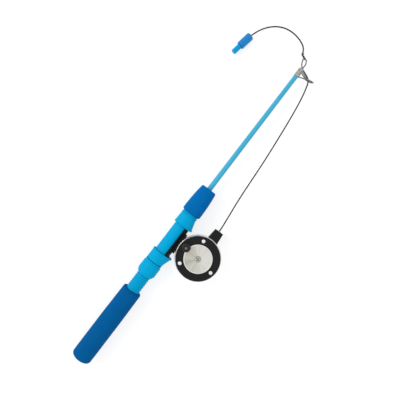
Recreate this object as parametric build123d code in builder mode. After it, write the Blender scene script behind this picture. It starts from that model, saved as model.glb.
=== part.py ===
from build123d import *
import math
import os

os.makedirs("parts", exist_ok=True)

# ---------------------------------------------------------------- driving dimensions, in mm
# Places along the rod are measured from the butt end.
rod_length = 435.9          # butt end to the front of the tip tube
grip_radius = 12.6          # butt grip, which is also the height of the rod's axis when it lies down
grip_length = 102.0
grip_front_radius = 12.1
grip_straight = 62.0        # the butt grip is parallel this far and then tapers
seat_start = 12.0           # rear end of the seat tube, inside the grip
barrel_radius = 8.7         # plain barrel and thread crests
thread_pitch = 3.3
thread_start = 103.8
thread_length = 46.2
nut_start = 126.0
nut_length = 18.9
nut_wall = 2.85             # beyond the barrel
nut_gap = 0.15              # between the nut and the hood it pushes
slide_clearance = 0.25      # nut and sliding hood over the barrel
thread_clearance = 0.2
hood_length = 14.4
hood_wall = 2.1             # beyond the barrel
lip_rise = 4.0              # how far the sliding hood's lip stands out on the reel's side
front_lip_rise = 3.0
front_hood_start = 199.6
front_hood_length = 14.4
trim_length = 3.0
foregrip_length = 36.6
foregrip_radius = 12.15
blank_radius = 3.3
blank_tip_radius = 2.8
blank_start = 112.0
arbor_length = 12.0
tip_tube_length = 11.5
tip_tube_radius = 3.25

reel_along = 180.3          # reel centre from the butt end
drum_radius = 28.0
drum_gap = 11.1             # drum's side from the rod's axis
drum_wall = 1.6
drum_height = 17.0
drum_floor = 1.8
crank_inset = 1.3           # crank plate's edge inside the drum's
crank_gap = 3.0             # crank plate above the drum
crank_thickness = 2.6
spool_flange_thickness = 1.2
spool_bottom = 7.4
hub_radius = 11.0
wound_radius = 12.2
spindle_radius = 2.0
running_clearance = 0.05
crank_band = 9.6            # open band of the crank plate round the cap
cap_thickness = 1.0
rivet_radius = 2.2
knob_inset = 7.4            # knob's axis from the crank plate's edge
knob_angle = 82.0
knob_base_radius = 5.2
knob_top_radius = 4.6
knob_height = 8.2
knob_washer_radius = 2.1
knob_washer_thickness = 0.8
gear_radius = 9.0
gear_teeth = 24

foot_length = 54.0
foot_thickness = 1.9        # saddle, beyond the barrel
foot_gap = 0.3              # round the foot inside the hoods
stem_width = 27.0
guide_length = 12.4         # how far the line guide stands out of the drum
guide_root_width = 13.6
guide_front_width = 11.0
guide_height = 12.2         # height of the line where it leaves the guide
guide_shift = 1.2           # guide beside the reel's centre line, away from the rod

ring_setback = 6.1          # tip ring's centre behind the tip
ring_offset = 16.2          # and from the rod's axis
ring_tilt = 11.0            # the ring's far side leans forward
ring_lean = 14.0            # and its top leans back
ring_major = 4.6
ring_minor = 0.65
line_diameter = 1.7
sleeve_radius = 5.0
sleeve_length = 17.6
stem_radius = 3.2
stem_length = 11.1
shank_radius = 2.1          # the stem's shank inside the sleeve
shank_length = 6.0
snap_wire_diameter = 1.2

# ---------------------------------------------------------------- places worked out from them
rod_z = grip_radius
butt_x = -rod_length / 2
core_radius = barrel_radius - 0.7
seat_bore = core_radius - 1.6
thread_root = barrel_radius - 0.6
thread_turns = round(thread_length / thread_pitch)
nut_radius = barrel_radius + nut_wall
hood_radius = barrel_radius + hood_wall
pocket_radius = hood_radius - 1.0
hood_lip = hood_radius + lip_rise
front_hood_lip = hood_radius + front_lip_rise
trim_radius = barrel_radius + 1.5
foot_radius = barrel_radius + foot_thickness
reel_offset = drum_radius + drum_gap
crank_radius = drum_radius - crank_inset
crank_bottom = drum_height + crank_gap
cap_radius = crank_radius - crank_band
rivet_circle = (cap_radius + crank_radius) / 2
knob_circle = crank_radius - knob_inset
bush_radius = spindle_radius + 1.4
guide_reach = drum_radius + guide_length
ring_along = rod_length - ring_setback
rod_y = (reel_offset + drum_radius - grip_radius) / 2
reel_x = butt_x + reel_along
reel_y = rod_y - reel_offset
guide_y = reel_y - guide_shift
hood_start = nut_start + nut_length + nut_gap
hood_end = hood_start + hood_length
trim_start = front_hood_start + front_hood_length
foregrip_start = trim_start + trim_length
foregrip_end = foregrip_start + foregrip_length
core_end = foregrip_end - 5.6
tip_tube_start = rod_length - tip_tube_length
thread_end = thread_start + thread_turns * thread_pitch
barrel_start = thread_end + 2.0
spool_top = crank_bottom
crank_top = crank_bottom + crank_thickness
cap_top = crank_top + 0.2
cap_bottom = cap_top - cap_thickness
drum_inner = drum_radius - drum_wall
spool_flange_radius = drum_inner - 1.9
slide_bore = barrel_radius + slide_clearance

rod_axis = Axis((butt_x, rod_y, rod_z), (1, 0, 0))
rod_side = Plane(origin=(butt_x, rod_y, rod_z), x_dir=(1, 0, 0), z_dir=(0, 0, 1))
reel_axis = Axis((reel_x, reel_y, 0), (0, 0, 1))
reel_side = Plane(origin=(reel_x, reel_y, 0), x_dir=(1, 0, 0), z_dir=(0, -1, 0))


def across(along):
    """The plane across the rod at a distance from the butt end: local x is +Y and local y is +Z."""
    return Plane(origin=(butt_x + along, rod_y, rod_z), x_dir=(0, 1, 0), z_dir=(1, 0, 0))


def reel_level(height):
    """The plane across the reel's axis at a height."""
    return Plane(origin=(reel_x, reel_y, height))


def place(along, aside, height):
    """A point from its distance along the rod, its distance from the rod's axis and its height."""
    return Vector(butt_x + along, rod_y + aside, height)


def turned(plane, axis, *outline, mode=Mode.ADD):
    """A turned solid: the half outline stands on the plane and goes once round the axis."""
    with BuildSketch(plane) as section:
        with BuildLine():
            Polyline(*outline, close=True)
        make_face()
    revolve(section.sketch, axis=axis, mode=mode)


def disc(plane, radius, thickness, mode=Mode.ADD):
    """A round slab that stands on a plane."""
    with BuildSketch(plane) as section:
        Circle(radius)
    extrude(section.sketch, amount=thickness, mode=mode)


def rounded_wire(points, radii, diameter, mode=Mode.ADD):
    """A round wire or cord along straight runs joined by tangent arcs."""
    with BuildLine() as route:
        FilletPolyline(*points, radius=radii)
    with BuildSketch(Plane(origin=route.line @ 0, z_dir=route.line % 0)) as section:
        Circle(diameter / 2)
    sweep(section.sketch, path=route.line, mode=mode)
    return route.wire().length


def arc_radii(name, points):
    """The largest arc that fits each corner of a route, printed with the turns."""
    radii = []
    for before, corner, after in zip(points, points[1:], points[2:]):
        turn = (corner - before).get_angle(after - corner)
        shorter = min((corner - before).length, (after - corner).length)
        radii.append(0.45 * shorter / math.tan(math.radians(turn / 2)))
    print(name, "radii", [round(radius, 1) for radius in radii])
    return radii


def finish(piece, label):
    """Names a finished piece and writes its file."""
    piece.part.label = label
    export_step(piece.part, f"parts/{label}.step")


# ---------------------------------------------------------------- handle
# The butt grip is one foam moulding with a closed, gently domed end.
with BuildPart() as butt_grip:
    with BuildSketch(rod_side):
        with BuildLine():
            end_face = ThreePointArc((0, 0), (0.25, 5.2), (0.9, 10.2))
            RadiusArc(end_face @ 1, (3.4, grip_radius), 2.5)
            Polyline(
                (3.4, grip_radius),
                (grip_straight, grip_radius),
                (grip_length - 0.6, grip_front_radius),
                (grip_length, grip_front_radius - 0.6),
                (grip_length, core_radius),
                (seat_start, core_radius),
                (seat_start, 0),
                (0, 0),
            )
        make_face()
    revolve(axis=rod_axis)
finish(butt_grip, "butt_grip")


def thread_ridge(start, turns, half_widths, radii):
    """A helical ridge round the rod's axis; the widths and radii are given at its two sides."""
    centre = (butt_x + start, rod_y, rod_z)
    with BuildLine() as path:
        Helix(thread_pitch, turns * thread_pitch, radii[0], center=centre, direction=(1, 0, 0))
    outward = (path.line @ 0 - Vector(*centre)).normalized()
    with BuildSketch(Plane(origin=path.line @ 0, x_dir=outward, z_dir=path.line % 0)) as tooth:
        with BuildLine():
            Polyline(
                (0, -half_widths[0]),
                (radii[1] - radii[0], -half_widths[1]),
                (radii[1] - radii[0], half_widths[1]),
                (0, half_widths[0]),
                close=True,
            )
        make_face()
    sweep(tooth.sketch, path=path.line, is_frenet=True)


# Trapezoid thread: the ridge narrows from its root to its crest.
root_half = 1.0
crest_half = 0.5
flank = (root_half - crest_half) / (barrel_radius - thread_root)

# The seat is one moulded tube: a core for each grip, the thread and the plain barrel.
with BuildPart() as reel_seat:
    turned(
        rod_side,
        rod_axis,
        (seat_start, seat_bore),
        (seat_start, core_radius),
        (grip_length, core_radius),
        (grip_length, thread_root),
        (barrel_start - 0.6, thread_root),
        (barrel_start, barrel_radius),
        (foregrip_start, barrel_radius),
        (foregrip_start, core_radius),
        (core_end, core_radius),
        (core_end, seat_bore),
    )
    embed = 0.2
    thread_ridge(
        thread_start,
        thread_turns,
        (root_half + flank * embed, crest_half),
        (thread_root - embed, barrel_radius),
    )
finish(reel_seat, "reel_seat")

# The lock nut's inner ridge runs in the seat's groove with the thread clearance all round.
with BuildPart() as lock_nut:
    turned(
        rod_side,
        rod_axis,
        (nut_start, slide_bore),
        (nut_start, nut_radius - 1.7),
        (nut_start + 3.6, nut_radius),
        (nut_start + nut_length - 3.4, nut_radius),
        (nut_start + nut_length - 2.4, hood_radius),
        (nut_start + nut_length, hood_radius),
        (nut_start + nut_length, slide_bore),
    )
    groove_phase = math.ceil((nut_start + 1.6 - thread_start) / thread_pitch - 0.5) + 0.5
    ridge_start = thread_start + groove_phase * thread_pitch
    ridge_turns = math.floor(2 * (nut_start + nut_length - 1.5 - ridge_start) / thread_pitch) / 2
    ridge_tip = thread_root + thread_clearance
    gap_half = thread_pitch / 2 - root_half - thread_clearance
    base_radius = slide_bore + 0.2
    thread_ridge(
        ridge_start,
        ridge_turns,
        (gap_half + flank * (ridge_tip - thread_root), gap_half + flank * (base_radius - thread_root)),
        (ridge_tip, base_radius),
    )
finish(lock_nut, "lock_nut")

# ---------------------------------------------------------------- hoods and the reel's foot
saddle_half_angle = 53.0
tongue_half_angle = 40.0
foot_start = reel_along - foot_length / 2
foot_end = reel_along + foot_length / 2
tongue_tip_radius = foot_radius - 0.7


def sector(plane, inner, outer, half_angle, depth, taper_to=None, mode=Mode.ADD):
    """A length of arched plate on the reel's side of the rod; it may get thinner along its length."""
    def arch(where, radius):
        with BuildSketch(where) as section:
            with BuildLine():
                low = PolarLine((0, 0), inner, 180 - half_angle, mode=Mode.PRIVATE)
                high = PolarLine((0, 0), radius, 180 - half_angle, mode=Mode.PRIVATE)
                Line(low @ 1, high @ 1)
                CenterArc((0, 0), radius, 180 - half_angle, 2 * half_angle)
                end_low = PolarLine((0, 0), inner, 180 + half_angle, mode=Mode.PRIVATE)
                end_high = PolarLine((0, 0), radius, 180 + half_angle, mode=Mode.PRIVATE)
                Line(end_high @ 1, end_low @ 1)
                CenterArc((0, 0), inner, 180 - half_angle, 2 * half_angle)
            make_face()
        return section.sketch

    far = outer if taper_to is None else taper_to
    near_face = arch(plane, outer)
    far_face = arch(plane.offset(depth), far)
    loft([near_face, far_face], ruled=True, mode=mode)


def hood_bulge(lip_along, lip, far_along, far_reach):
    """The hood's round bulge over the foot: a leaning round bar from the lip to the far end."""
    with BuildSketch(across(lip_along)) as wide:
        with Locations((-(lip - pocket_radius), 0)):
            Circle(pocket_radius)
    with BuildSketch(across(far_along)) as narrow:
        with Locations((-(far_reach - pocket_radius), 0)):
            Circle(pocket_radius)
    loft([wide.sketch, narrow.sketch])


mouth_rim = 0.35            # a low rim round each hood's mouth
mouth_rim_width = 1.3


def mouth_collar(along, lip):
    """The low rim round the bulge at a hood's mouth."""
    with BuildSketch(across(along)) as rim:
        with Locations((-(lip - pocket_radius), 0)):
            Circle(pocket_radius + mouth_rim)
    extrude(rim.sketch, amount=mouth_rim_width)


pocket_depth = hood_end - foot_start + foot_gap
front_pocket_depth = foot_end - front_hood_start + foot_gap

with BuildPart() as sliding_hood:
    turned(
        rod_side,
        rod_axis,
        (hood_start, 0),
        (hood_start, hood_radius - 0.8),
        (hood_start + 0.8, hood_radius),
        (hood_end - mouth_rim_width, hood_radius),
        (hood_end - mouth_rim_width + 0.3, hood_radius + mouth_rim),
        (hood_end - 0.2, hood_radius + mouth_rim),
        (hood_end, hood_radius + 0.1),
        (hood_end, 0),
    )
    hood_bulge(hood_end, hood_lip, hood_start + 0.8, hood_radius - 0.4)
    mouth_collar(hood_end - mouth_rim_width, hood_lip)
    disc(across(hood_start - 1), slide_bore, hood_length + 2, mode=Mode.SUBTRACT)
    sector(
        across(hood_end),
        slide_bore - 0.5,
        foot_radius + foot_gap,
        tongue_half_angle + 3,
        -pocket_depth,
        taper_to=tongue_tip_radius + foot_gap,
        mode=Mode.SUBTRACT,
    )
finish(sliding_hood, "sliding_hood")

with BuildPart() as front_hood:
    turned(
        rod_side,
        rod_axis,
        (front_hood_start, 0),
        (front_hood_start, hood_radius + 0.1),
        (front_hood_start + 0.2, hood_radius + mouth_rim),
        (front_hood_start + mouth_rim_width - 0.3, hood_radius + mouth_rim),
        (front_hood_start + mouth_rim_width, hood_radius),
        (trim_start, trim_radius),
        (trim_start, 0),
    )
    hood_bulge(front_hood_start, front_hood_lip, trim_start - 0.5, trim_radius - 0.2)
    mouth_collar(front_hood_start, front_hood_lip)
    disc(across(front_hood_start - 1), barrel_radius, front_hood_length + 2, mode=Mode.SUBTRACT)
    sector(
        across(front_hood_start),
        barrel_radius - 0.5,
        foot_radius + foot_gap,
        tongue_half_angle + 3,
        front_pocket_depth,
        taper_to=tongue_tip_radius + foot_gap,
        mode=Mode.SUBTRACT,
    )
finish(front_hood, "front_hood")

with BuildPart() as trim_ring:
    turned(
        rod_side,
        rod_axis,
        (trim_start, barrel_radius),
        (trim_start, trim_radius + 0.3),
        (trim_start + 1.1, trim_radius + 0.3),
        (trim_start + 1.5, trim_radius - 0.3),
        (foregrip_start, trim_radius - 0.3),
        (foregrip_start, barrel_radius),
    )
finish(trim_ring, "trim_ring")

# The foot: a saddle on the barrel, a tongue under each hood and a stem down to the drum.
saddle_start = hood_end + foot_gap
saddle_end = front_hood_start - foot_gap
stem_height = 8.6
foot_bore = barrel_radius + 0.05
screw_spacing = 14.0
foot_screw_radius = 1.25
foot_screw_head = 2.4
with BuildPart() as reel_foot:
    sector(across(saddle_start), foot_bore, foot_radius, saddle_half_angle, saddle_end - saddle_start)
    sector(
        across(saddle_start),
        foot_bore,
        foot_radius,
        tongue_half_angle,
        foot_start - saddle_start,
        taper_to=tongue_tip_radius,
    )
    sector(
        across(saddle_end),
        foot_bore,
        foot_radius,
        tongue_half_angle,
        foot_end - saddle_end,
        taper_to=tongue_tip_radius,
    )
    stem_root = Plane(origin=(reel_x, rod_y - foot_bore, rod_z), x_dir=(1, 0, 0), z_dir=(0, -1, 0))
    with BuildSketch(stem_root) as block:
        RectangleRounded(stem_width, stem_height, 2.0)
    extrude(block.sketch, amount=reel_offset - foot_bore - drum_inner)
    disc(across(reel_along - stem_width), foot_bore, 2 * stem_width, mode=Mode.SUBTRACT)
    disc(reel_level(0), drum_radius, 2 * rod_z, mode=Mode.SUBTRACT)
    for side in (-1, 1):
        with BuildSketch(Plane(origin=(reel_x + side * screw_spacing / 2, rod_y - foot_bore - 0.6, rod_z),
                               x_dir=(1, 0, 0), z_dir=(0, -1, 0))) as pilot:
            Circle(foot_screw_radius)
        extrude(pilot.sketch, amount=reel_offset, mode=Mode.SUBTRACT)
finish(reel_foot, "reel_foot")

# ---------------------------------------------------------------- reel: fixed parts
spindle_boss = 5.0
boss_top = 4.5
nut_recess = 1.4
window_width = 12.2
window_height = 7.0
click_angle = 250.0
click_post = 17.0
click_screw_radius = 1.0
post_top = 5.4


def toward(angle, distance):
    """A point round the reel's axis, in the reel's own plane."""
    return (distance * math.cos(math.radians(angle)), distance * math.sin(math.radians(angle)))


# The drum is an open pan with a central boss, a post for the click spring and a line window.
with BuildPart() as reel_drum:
    turned(
        reel_side,
        reel_axis,
        (spindle_radius, nut_recess),
        (4.0, nut_recess),
        (4.0, 0),
        (drum_radius - 1.0, 0),
        (drum_radius, 1.0),
        (drum_radius, drum_height - 0.5),
        (drum_radius - 0.5, drum_height),
        (drum_inner, drum_height),
        (drum_inner, drum_floor),
        (spindle_boss + 0.6, drum_floor),
        (spindle_boss, boss_top),
        (spindle_radius, boss_top),
    )
    with BuildSketch(reel_level(drum_floor - 0.5)) as post:
        with Locations(toward(click_angle, click_post)):
            Circle(2.6)
    extrude(post.sketch, amount=post_top - drum_floor + 0.5)
    with BuildSketch(reel_level(drum_floor + 0.6)) as post_hole:
        with Locations(toward(click_angle, click_post)):
            Circle(click_screw_radius)
    extrude(post_hole.sketch, amount=post_top, mode=Mode.SUBTRACT)
    with BuildSketch(Plane(origin=(reel_x + drum_inner - 3, guide_y, guide_height), x_dir=(0, 1, 0),
                           z_dir=(1, 0, 0))) as window:
        Rectangle(window_width, window_height)
    extrude(window.sketch, amount=6, mode=Mode.SUBTRACT)
    for side in (-1, 1):
        with BuildSketch(Plane(origin=(reel_x + side * screw_spacing / 2, reel_y, rod_z), x_dir=(1, 0, 0),
                               z_dir=(0, 1, 0))) as hole:
            Circle(foot_screw_radius)
        extrude(hole.sketch, amount=drum_radius + 1, mode=Mode.SUBTRACT)
finish(reel_drum, "reel_drum")

# Two pan-head screws go from inside the drum into the foot's stem.
with BuildPart() as foot_screws:
    seat_at_screw = math.sqrt(drum_inner ** 2 - (screw_spacing / 2 + foot_screw_head) ** 2)
    shank_end = reel_offset - foot_bore - 0.6
    for side in (-1, 1):
        screw_plane = Plane(origin=(reel_x + side * screw_spacing / 2, reel_y, rod_z), x_dir=(1, 0, 0),
                            z_dir=(0, 1, 0))
        disc(screw_plane.offset(seat_at_screw - 1.6), foot_screw_radius, shank_end - seat_at_screw + 1.6)
        disc(screw_plane.offset(seat_at_screw - 1.4), foot_screw_head, 1.4)
        with BuildSketch(screw_plane.offset(seat_at_screw - 1.7)) as cross:
            Rectangle(2.6, 0.6)
            Rectangle(0.6, 2.6)
        extrude(cross.sketch, amount=0.9, mode=Mode.SUBTRACT)
finish(foot_screws, "foot_screws")

# The line guide is a hollow horn; its two flat tongues snap into the drum's window.
guide_root_height = 9.6
guide_front_height = 8.0
guide_wall = 1.0
front_wall = 1.8
eyelet_hole = 2.2


def guide_section(distance):
    """The plane across the line guide at a distance from the reel's axis."""
    return Plane(origin=(reel_x + distance, guide_y, guide_height), x_dir=(0, 1, 0), z_dir=(1, 0, 0))


with BuildPart() as line_guide:
    with BuildSketch(guide_section(drum_inner)) as root_outline:
        RectangleRounded(guide_root_width, guide_root_height, 1.2)
    with BuildSketch(guide_section(guide_reach)) as front_outline:
        RectangleRounded(guide_front_width, guide_front_height, 1.2)
    loft([root_outline.sketch, front_outline.sketch], ruled=True)
    disc(reel_level(0), drum_radius, 2 * drum_radius, mode=Mode.SUBTRACT)
    with BuildSketch(guide_section(drum_inner - 0.8)) as tongue:
        Rectangle(window_width, window_height)
    extrude(tongue.sketch, amount=drum_wall + 2)
    disc(reel_level(0), drum_inner, 2 * drum_radius, mode=Mode.SUBTRACT)
    with BuildSketch(guide_section(drum_inner - 0.9)) as root_hollow:
        Rectangle(window_width, window_height - 2 * guide_wall)
    with BuildSketch(guide_section(guide_reach - front_wall)) as front_hollow:
        Rectangle(guide_front_width - 5, guide_front_height - 4.4)
    loft([root_hollow.sketch, front_hollow.sketch], ruled=True, mode=Mode.SUBTRACT)
    disc(guide_section(guide_reach - front_wall - 1), eyelet_hole, front_wall + 2, mode=Mode.SUBTRACT)
finish(line_guide, "line_guide")

guide_axis = Axis((reel_x, guide_y, guide_height), (1, 0, 0))
guide_side = Plane(origin=(reel_x, guide_y, guide_height), x_dir=(1, 0, 0), z_dir=(0, 0, 1))
eyelet_bore = line_diameter / 2 + 0.4
with BuildPart() as guide_eyelet:
    turned(
        guide_side,
        guide_axis,
        (guide_reach - front_wall, eyelet_bore),
        (guide_reach - front_wall, eyelet_hole),
        (guide_reach, eyelet_hole),
        (guide_reach, eyelet_hole + 0.8),
        (guide_reach + 0.3, eyelet_hole + 0.8),
        (guide_reach + 0.7, eyelet_hole + 0.2),
        (guide_reach + 0.7, eyelet_bore + 0.4),
        (guide_reach + 0.3, eyelet_bore),
    )
finish(guide_eyelet, "guide_eyelet")

# Steel spindle: threaded tail in the nut, a collar on the boss and a tapped top.
tail_radius = 1.5
collar_radius = spindle_radius + 1.2
collar_top = boss_top + 0.7
spindle_top = cap_top + 0.15
screw_core = 1.25
tapped_depth = 8.0
with BuildPart() as spindle:
    turned(
        reel_side,
        reel_axis,
        (0, 0.25),
        (tail_radius, 0.25),
        (tail_radius, nut_recess),
        (spindle_radius, nut_recess),
        (spindle_radius, boss_top),
        (collar_radius, boss_top),
        (collar_radius, collar_top),
        (spindle_radius, collar_top),
        (spindle_radius, spindle_top),
        (screw_core, spindle_top),
        (screw_core, spindle_top - tapped_depth),
        (0, spindle_top - tapped_depth),
    )
finish(spindle, "spindle")

with BuildPart() as spindle_nut:
    with BuildSketch(reel_level(0.2)) as hexagon:
        RegularPolygon(5.5 / 2, 6, major_radius=False)
        Circle(tail_radius, mode=Mode.SUBTRACT)
    extrude(hexagon.sketch, amount=nut_recess - 0.2)
finish(spindle_nut, "spindle_nut")

washer_radius = spindle_radius + 1.8
washer_thickness = 0.4
with BuildPart() as spindle_washer:
    with BuildSketch(reel_level(spindle_top)) as ring:
        Circle(washer_radius)
        Circle(screw_core, mode=Mode.SUBTRACT)
    extrude(ring.sketch, amount=washer_thickness)
finish(spindle_washer, "spindle_washer")

screw_head_radius = 3.1
screw_head_height = 1.5
with BuildPart() as spindle_screw:
    head_bottom = spindle_top + washer_thickness
    turned(
        reel_side,
        reel_axis,
        (0, spindle_top - tapped_depth + 0.6),
        (screw_core, spindle_top - tapped_depth + 0.6),
        (screw_core, head_bottom),
        (screw_head_radius, head_bottom),
        (screw_head_radius, head_bottom + 0.7),
        (screw_head_radius - 0.8, head_bottom + screw_head_height),
        (0, head_bottom + screw_head_height),
    )
    with BuildSketch(reel_level(head_bottom + 0.5)) as cross:
        Rectangle(4.4, 1.0)
        Rectangle(1.0, 4.4)
    extrude(cross.sketch, amount=screw_head_height, mode=Mode.SUBTRACT)
finish(spindle_screw, "spindle_screw")

# ---------------------------------------------------------------- reel: turning parts
bush_length = 3.0
with BuildPart() as spool_body:
    turned(
        reel_side,
        reel_axis,
        (spindle_radius + 0.5, spool_bottom + bush_length),
        (bush_radius, spool_bottom + bush_length),
        (bush_radius, spool_bottom),
        (spool_flange_radius, spool_bottom),
        (spool_flange_radius, spool_bottom + spool_flange_thickness),
        (hub_radius, spool_bottom + spool_flange_thickness),
        (hub_radius, spool_top - spool_flange_thickness),
        (spool_flange_radius, spool_top - spool_flange_thickness),
        (spool_flange_radius, spool_top),
        (bush_radius, spool_top),
        (bush_radius, spool_top - bush_length),
        (spindle_radius + 0.5, spool_top - bush_length),
    )
    rivet_core = 1.3
    pin_core = 1.5
    for angle in (20, 140, 260):
        with BuildSketch(reel_level(spool_top - 2)) as rivet_hole:
            with Locations(toward(angle, rivet_circle)):
                Circle(rivet_core)
        extrude(rivet_hole.sketch, amount=3, mode=Mode.SUBTRACT)
    with BuildSketch(reel_level(spool_top - 2)) as pin_hole:
        with Locations(toward(knob_angle, knob_circle)):
            Circle(pin_core)
    extrude(pin_hole.sketch, amount=3, mode=Mode.SUBTRACT)
finish(spool_body, "spool_body")

with BuildPart() as spool_bushes:
    for bottom in (spool_bottom, spool_top - bush_length):
        with BuildSketch(reel_level(bottom)) as bush:
            Circle(bush_radius)
            Circle(spindle_radius + running_clearance, mode=Mode.SUBTRACT)
        extrude(bush.sketch, amount=bush_length)
finish(spool_bushes, "spool_bushes")

with BuildPart() as wound_line:
    turned(
        reel_side,
        reel_axis,
        (hub_radius, spool_bottom + spool_flange_thickness),
        (wound_radius - 0.5, spool_bottom + spool_flange_thickness),
        (wound_radius, (spool_bottom + spool_top) / 2),
        (wound_radius - 0.5, spool_top - spool_flange_thickness),
        (hub_radius, spool_top - spool_flange_thickness),
    )
finish(wound_line, "wound_line")

# The crank plate is the black wheel that the fingers turn; the cap lies in its recess.
with BuildPart() as crank_plate:
    turned(
        reel_side,
        reel_axis,
        (washer_radius + 0.6, crank_bottom),
        (crank_radius - 0.6, crank_bottom),
        (crank_radius, crank_bottom + 0.6),
        (crank_radius, crank_top - 1.0),
        (crank_radius - 1.0, crank_top),
        (cap_radius, crank_top),
        (cap_radius, cap_bottom),
        (washer_radius + 0.6, cap_bottom),
    )
    for angle in (20, 140, 260):
        with BuildSketch(reel_level(crank_bottom - 1)) as rivet_hole:
            with Locations(toward(angle, rivet_circle)):
                Circle(rivet_core)
        extrude(rivet_hole.sketch, amount=crank_thickness + 2, mode=Mode.SUBTRACT)
    with BuildSketch(reel_level(crank_bottom - 1)) as pin_hole:
        with Locations(toward(knob_angle, knob_circle)):
            Circle(pin_core)
    extrude(pin_hole.sketch, amount=crank_thickness + 2, mode=Mode.SUBTRACT)
finish(crank_plate, "crank_plate")

with BuildPart() as spool_rivets:
    rivet_back = spool_top - spool_flange_thickness
    for angle in (20, 140, 260):
        along, aside = toward(angle, rivet_circle)
        centre = (reel_x + along, reel_y + aside, 0)
        side = Plane(origin=centre, x_dir=(1, 0, 0), z_dir=(0, -1, 0))
        turned(
            side,
            Axis(centre, (0, 0, 1)),
            (0, rivet_back - 0.6),
            (1.9, rivet_back - 0.6),
            (1.9, rivet_back),
            (rivet_core, rivet_back),
            (rivet_core, crank_top),
            (rivet_radius, crank_top),
            (rivet_radius, crank_top + 0.2),
            (rivet_radius - 0.4, crank_top + 0.5),
            (0, crank_top + 0.6),
        )
finish(spool_rivets, "spool_rivets")

# The cap is a spun disc with a raised rim.
with BuildPart() as spool_cap:
    turned(
        reel_side,
        reel_axis,
        (spindle_radius + 0.3, cap_bottom),
        (cap_radius, cap_bottom),
        (cap_radius, cap_top + 0.25),
        (cap_radius - 0.3, cap_top + 0.45),
        (cap_radius - 0.9, cap_top + 0.45),
        (cap_radius - 1.3, cap_top),
        (spindle_radius + 0.3, cap_top),
    )
finish(spool_cap, "spool_cap")

with BuildPart() as click_gear:
    gear_bottom = spool_bottom - 1.6
    tooth_step = 360 / gear_teeth
    outline = []
    for tooth in range(gear_teeth):
        outline.append(toward(tooth * tooth_step, gear_radius - 0.9))
        outline.append(toward((tooth + 0.5) * tooth_step, gear_radius))
    with BuildSketch(reel_level(gear_bottom)) as gear:
        with BuildLine():
            Polyline(*outline, close=True)
        make_face()
        Circle(bush_radius + 0.2, mode=Mode.SUBTRACT)
    extrude(gear.sketch, amount=spool_bottom - gear_bottom)
finish(click_gear, "click_gear")

# A leaf of spring steel is screwed to the post, and its turned-in tip rests between two teeth.
leaf_thickness = 0.5
leaf_height = 1.2
leaf_bottom = post_top + 0.05
tip_gap_angle = round(click_angle / tooth_step + 0.5) * tooth_step
with BuildPart() as click_spring:
    eye = Vector(*toward(click_angle, click_post))
    bend = Vector(*toward(tip_gap_angle + 14, gear_radius + 2.2))
    tip = Vector(*toward(tip_gap_angle, gear_radius - 0.25))
    with BuildSketch(reel_level(leaf_bottom)) as leaf:
        with BuildLine():
            Polyline(eye, bend, tip)
        trace(line_width=leaf_thickness)
        with Locations(eye):
            Circle(2.2)
            Circle(click_screw_radius, mode=Mode.SUBTRACT)
    extrude(leaf.sketch, amount=leaf_height)
finish(click_spring, "click_spring")

with BuildPart() as click_screw:
    screw_at = toward(click_angle, click_post)
    with BuildSketch(reel_level(drum_floor + 0.6)) as shank:
        with Locations(screw_at):
            Circle(click_screw_radius)
    extrude(shank.sketch, amount=leaf_bottom + leaf_height - drum_floor - 0.6)
    with BuildSketch(reel_level(leaf_bottom + leaf_height)) as head:
        with Locations(screw_at):
            Circle(1.9)
    extrude(head.sketch, amount=0.5)
finish(click_screw, "click_screw")

# ---------------------------------------------------------------- knob
knob_x, knob_y = toward(knob_angle, knob_circle)
knob_centre = (reel_x + knob_x, reel_y + knob_y, 0)
knob_axis = Axis(knob_centre, (0, 0, 1))
knob_side = Plane(origin=knob_centre, x_dir=(1, 0, 0), z_dir=(0, -1, 0))
knob_bottom = crank_top + knob_washer_thickness + 0.2
knob_top = knob_bottom + knob_height
pin_head_radius = 2.5
pin_seat = knob_top - 2.2
with BuildPart() as crank_knob:
    with BuildSketch(knob_side):
        with BuildLine():
            Polyline(
                (pin_core + running_clearance, pin_seat),
                (pin_core + running_clearance, knob_bottom),
                (knob_base_radius - 0.5, knob_bottom),
                (knob_base_radius, knob_bottom + 0.5),
                (knob_base_radius, knob_bottom + 1.6),
            )
            waist = ThreePointArc(
                (knob_base_radius, knob_bottom + 1.6),
                (knob_top_radius - 0.8, knob_bottom + 0.5 * knob_height),
                (knob_top_radius, knob_top - 2.4),
            )
            ThreePointArc(
                waist @ 1,
                (knob_top_radius - 0.1, knob_top - 0.7),
                (knob_top_radius - 0.8, knob_top),
            )
            Polyline(
                (knob_top_radius - 0.8, knob_top),
                (pin_head_radius + 0.3, knob_top),
                (pin_head_radius + 0.3, pin_seat),
                (pin_core + running_clearance, pin_seat),
            )
        make_face()
    revolve(axis=knob_axis)
finish(crank_knob, "crank_knob")

# A washer lifts the knob clear of the cap's rim.
with BuildPart() as knob_washer:
    turned(
        knob_side,
        knob_axis,
        (pin_core, crank_top),
        (knob_washer_radius, crank_top),
        (knob_washer_radius, crank_top + knob_washer_thickness),
        (pin_core, crank_top + knob_washer_thickness),
    )
finish(knob_washer, "knob_washer")

with BuildPart() as knob_pin:
    turned(
        knob_side,
        knob_axis,
        (0, rivet_back - 0.6),
        (2.1, rivet_back - 0.6),
        (2.1, rivet_back),
        (pin_core, rivet_back),
        (pin_core, pin_seat + 0.2),
        (pin_head_radius, pin_seat + 0.2),
        (pin_head_radius, pin_seat + 0.8),
        (pin_head_radius - 0.7, pin_seat + 1.4),
        (0, pin_seat + 1.6),
    )
finish(knob_pin, "knob_pin")

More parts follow.
